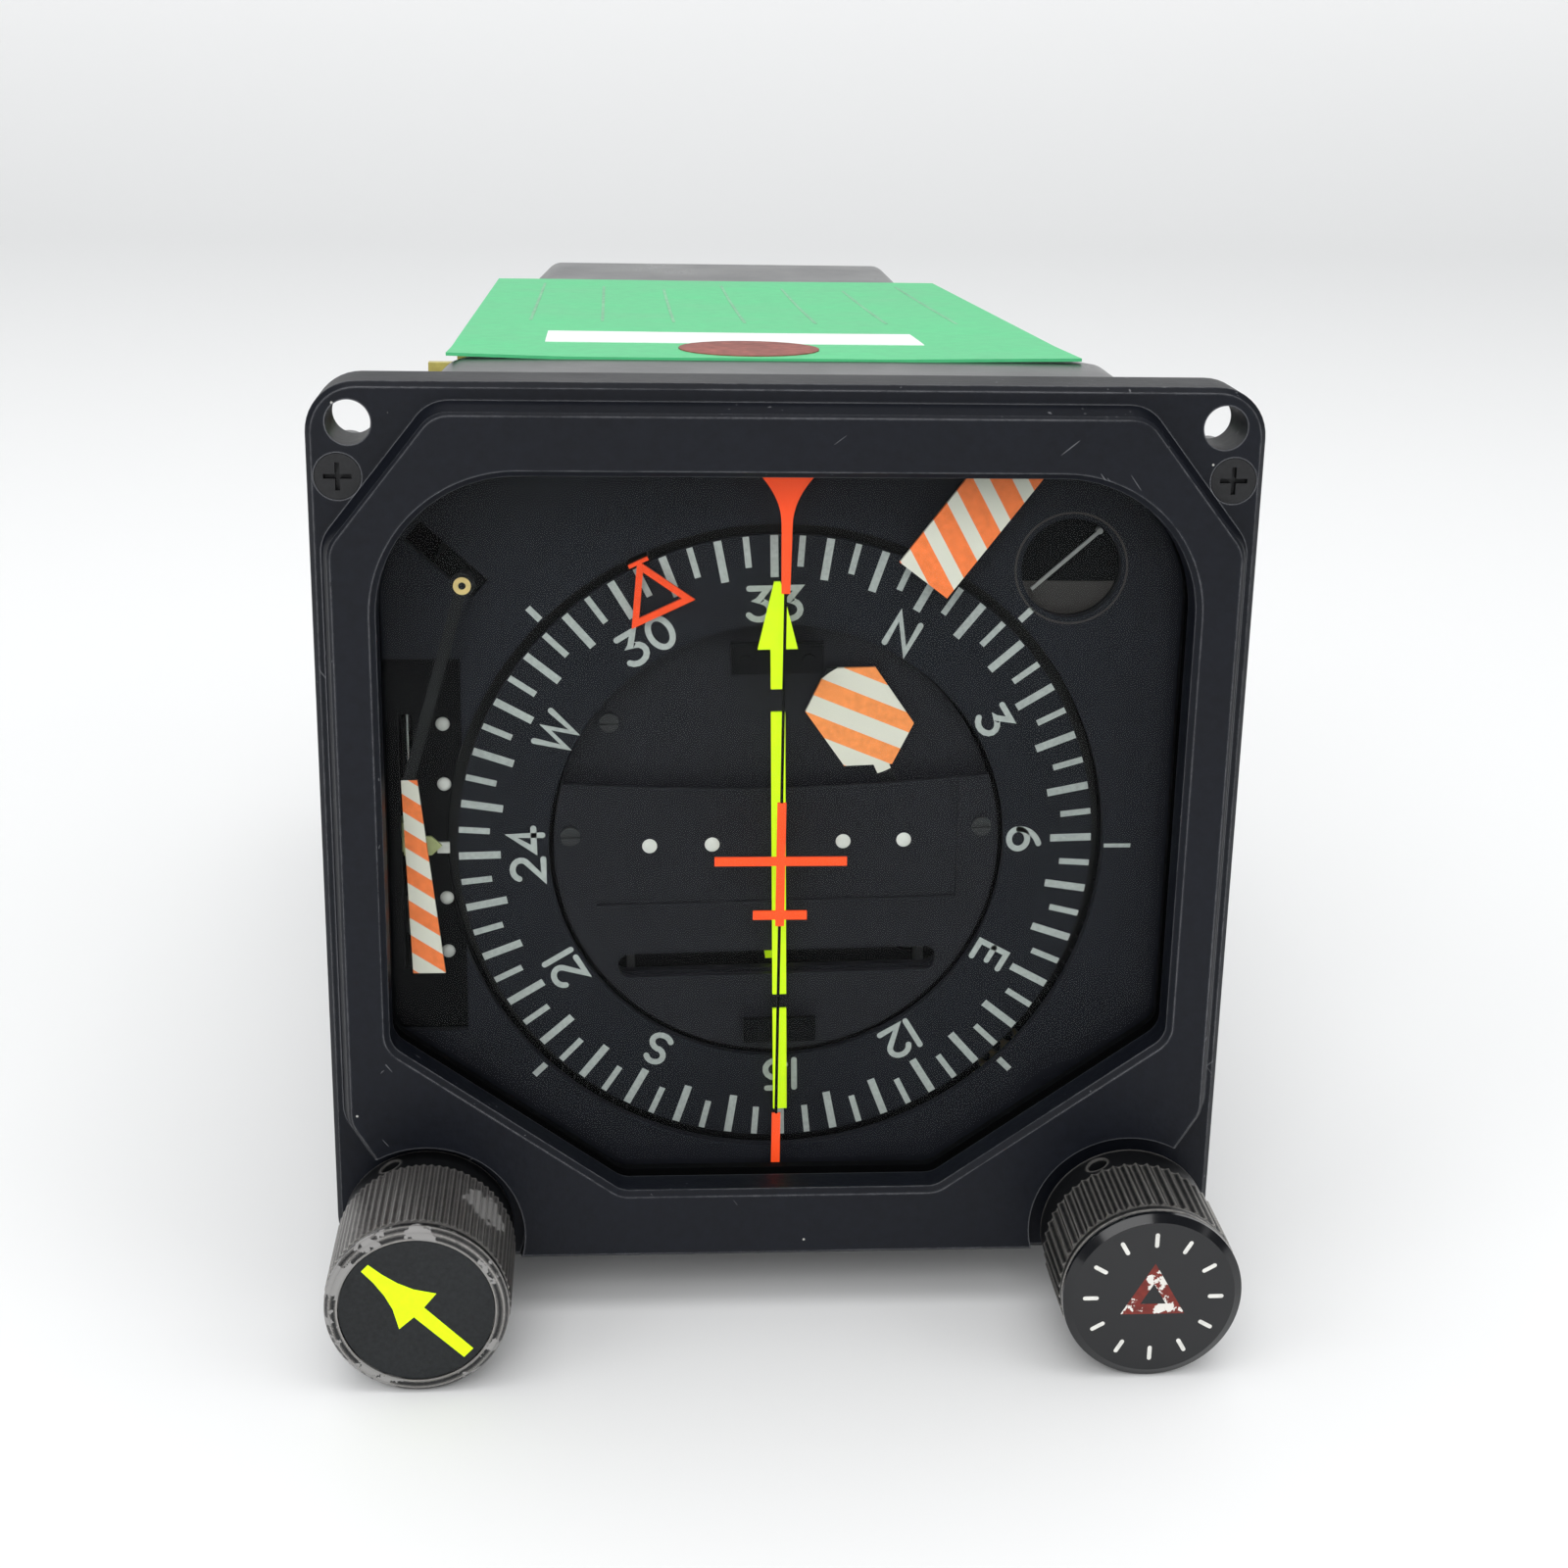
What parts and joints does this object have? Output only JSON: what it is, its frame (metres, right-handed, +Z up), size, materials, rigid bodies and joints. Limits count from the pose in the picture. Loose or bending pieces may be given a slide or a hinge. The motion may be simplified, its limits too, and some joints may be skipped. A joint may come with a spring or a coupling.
{
  "type": "navigation situation display",
  "caption": "Panel instrument with a slaved compass card, course pointer and deviation bar, heading bug, glideslope pointer, warning flags and two setting knobs.",
  "frame": {"origin": "on the panel face (the rear of the flange), midway between the two panel holes", "axes": "+X to the right as the pilot sees it, +Y into the panel along the case, +Z up"},
  "size_m": [0.086, 0.1855, 0.0909],
  "materials": {
    "bezel_black": "matt blue-black paint, worn on the edges",
    "screw_steel": "dull plated steel",
    "seal_rubber": "black rubber",
    "clear_glass": "clear flat glass",
    "inner_black": "dead matt black",
    "strip_orange": "orange paint",
    "case_black": "satin black paint",
    "card_black": "matt black with pale marks",
    "pointer_lime": "yellow-green paint",
    "faded_lime": "faded yellow-green paint",
    "bar_pale": "pale grey paint",
    "bug_orange": "orange paint",
    "flag_orange": "orange and off-white stripes",
    "gear_brass": "machined brass",
    "bright_steel": "ground steel",
    "alloy_gold": "yellow chromate",
    "knob_plastic": "satin black",
    "cap_plastic": "glossy black",
    "board_green": "green laminate",
    "frame_alloy": "plain aluminium",
    "motor_grey": "grey enamel",
    "tag_card": "green card"
  },
  "bodies": {
    "housing": {"bezel": "bezel_black", "bezel_screws": "screw_steel", "window_seal": "seal_rubber", "window_glass": "clear_glass", "glass_retainer": "inner_black", "lubber_strip": "strip_orange", "shoulder_frame": "case_black", "dial_mask": "card_black", "mask_posts": "frame_alloy", "glideslope_scale": "card_black", "glideslope_guide": "bright_steel", "flag_meters": "motor_grey", "slaving_meter": "inner_black", "knob_bushings": "gear_brass", "servo_motor": "motor_grey", "front_bulkhead": "inner_black", "main_bearing": "bright_steel", "middle_bulkhead": "alloy_gold", "chassis_rods": "frame_alloy", "course_resolver": "motor_grey", "circuit_boards": "board_green", "board_frame": "frame_alloy", "case_cover": "case_black", "rear_plate": "case_black", "rear_connectors": "frame_alloy", "case_screws": "screw_steel", "chassis_lug": "alloy_gold", "service_tag": "tag_card"},
    "card": {"compass_card": "card_black", "card_drum": "inner_black", "card_gear": "gear_brass"},
    "course_carriage": {"course_plate": "card_black", "course_disc": "card_black", "course_screws": "screw_steel", "course_pointer": "pointer_lime", "arrow_clamps": "inner_black", "course_shaft": "bright_steel", "deviation_guide": "bright_steel", "nav_flag_meter": "motor_grey"},
    "deviation": {"deviation_bar": "pointer_lime"},
    "nav_warning": {"nav_flag": "flag_orange"},
    "bug": {"heading_bug": "bug_orange"},
    "bug_wheel": {"bug_ring": "card_black"},
    "course_wheel": {"course_gear": "gear_brass"},
    "glideslope": {"glideslope_pointer": "faded_lime"},
    "gs_warning": {"gs_flag": "flag_orange"},
    "hdg_warning": {"hdg_flag": "flag_orange"},
    "slaving": {"slaving_needle": "bar_pale"},
    "course_setting": {"course_knob": "knob_plastic", "course_knob_face": "cap_plastic", "course_knob_shaft": "bright_steel", "course_set_screw": "screw_steel"},
    "course_drive": {"course_layshaft": "gear_brass"},
    "heading_push": {"push_collar": "gear_brass"},
    "heading_setting": {"heading_knob": "knob_plastic", "heading_knob_cap": "cap_plastic", "heading_knob_shaft": "bright_steel", "heading_set_screw": "screw_steel"},
    "heading_drive": {"heading_idler": "gear_brass"},
    "servo_drive": {"servo_pinion": "gear_brass"}
  },
  "joints": [
    {"name": "card_turn", "type": "hinge", "parent": "housing", "child": "card", "pos_m": [0, 0, -0.0428], "axis": [0, 1, 0], "continuous": true},
    {"name": "course_turn", "type": "hinge", "parent": "card", "child": "course_carriage", "pos_m": [0, 0, -0.0428], "axis": [0, 1, 0], "continuous": true},
    {"name": "deviation_slide", "type": "slide", "parent": "course_carriage", "child": "deviation", "axis": [0.9998, 0, 0.0216], "range_m": [-0.0125, 0.0125]},
    {"name": "nav_flag_swing", "type": "hinge", "parent": "course_carriage", "child": "nav_warning", "pos_m": [0.01695, 0, -0.04943], "axis": [0, 1, 0], "range_deg": [-50, 0]},
    {"name": "bug_turn", "type": "hinge", "parent": "card", "child": "bug", "pos_m": [0, 0, -0.0428], "axis": [0, 1, 0], "continuous": true},
    {"name": "glideslope_slide", "type": "slide", "parent": "housing", "child": "glideslope", "axis": [0, 0, 1], "range_m": [-0.0115, 0.0115]},
    {"name": "gs_flag_swing", "type": "hinge", "parent": "housing", "child": "gs_warning", "pos_m": [-0.0298, 0, -0.0158], "axis": [0, 1, 0], "range_deg": [0, 9]},
    {"name": "hdg_flag_swing", "type": "hinge", "parent": "housing", "child": "hdg_warning", "pos_m": [0.0235, 0, -0.0012], "axis": [0, 1, 0], "range_deg": [0, 53]},
    {"name": "slaving_swing", "type": "hinge", "parent": "housing", "child": "slaving", "pos_m": [0.03033, 0, -0.0116], "axis": [0, 1, 0], "range_deg": [-12, 12]},
    {"name": "course_knob_turn", "type": "hinge", "parent": "housing", "child": "course_setting", "pos_m": [-0.0341, 0, -0.0786], "axis": [0, 1, 0], "continuous": true},
    {"name": "course_drive_turn", "type": "hinge", "parent": "housing", "child": "course_drive", "pos_m": [-0.02627, 0, -0.06886], "axis": [0, 1, 0], "continuous": true},
    {"name": "course_wheel_turn", "type": "hinge", "parent": "housing", "child": "course_wheel", "pos_m": [0, 0, -0.0428], "axis": [0, 1, 0], "continuous": true},
    {"name": "heading_knob_push", "type": "slide", "parent": "housing", "child": "heading_push", "axis": [0, 1, 0], "range_m": [0, 0.002], "stiffness_N_per_m": 600},
    {"name": "heading_knob_turn", "type": "hinge", "parent": "heading_push", "child": "heading_setting", "pos_m": [0.0341, 0, -0.0786], "axis": [0, 1, 0], "continuous": true},
    {"name": "heading_drive_turn", "type": "hinge", "parent": "housing", "child": "heading_drive", "pos_m": [0.02843, 0, -0.07129], "axis": [0, 1, 0], "continuous": true},
    {"name": "bug_wheel_turn", "type": "hinge", "parent": "housing", "child": "bug_wheel", "pos_m": [0, 0, -0.0428], "axis": [0, 1, 0], "continuous": true},
    {"name": "servo_turn", "type": "hinge", "parent": "housing", "child": "servo_drive", "pos_m": [0.02376, 0, -0.01904], "axis": [0, 1, 0], "continuous": true}
  ],
  "couplings": [
    {"joint": "course_drive_turn", "follows": "course_knob_turn", "ratio": -0.19048},
    {"joint": "course_turn", "follows": "course_knob_turn", "ratio": 0.044444},
    {"joint": "course_wheel_turn", "follows": "course_knob_turn", "ratio": 0.044444},
    {"joint": "bug_wheel_turn", "follows": "heading_knob_turn", "ratio": 0.060606},
    {"joint": "heading_drive_turn", "follows": "heading_knob_turn", "ratio": -0.27586},
    {"joint": "bug_turn", "follows": "heading_knob_turn", "ratio": 0.060606},
    {"joint": "servo_turn", "follows": "card_turn", "ratio": -6}
  ]
}
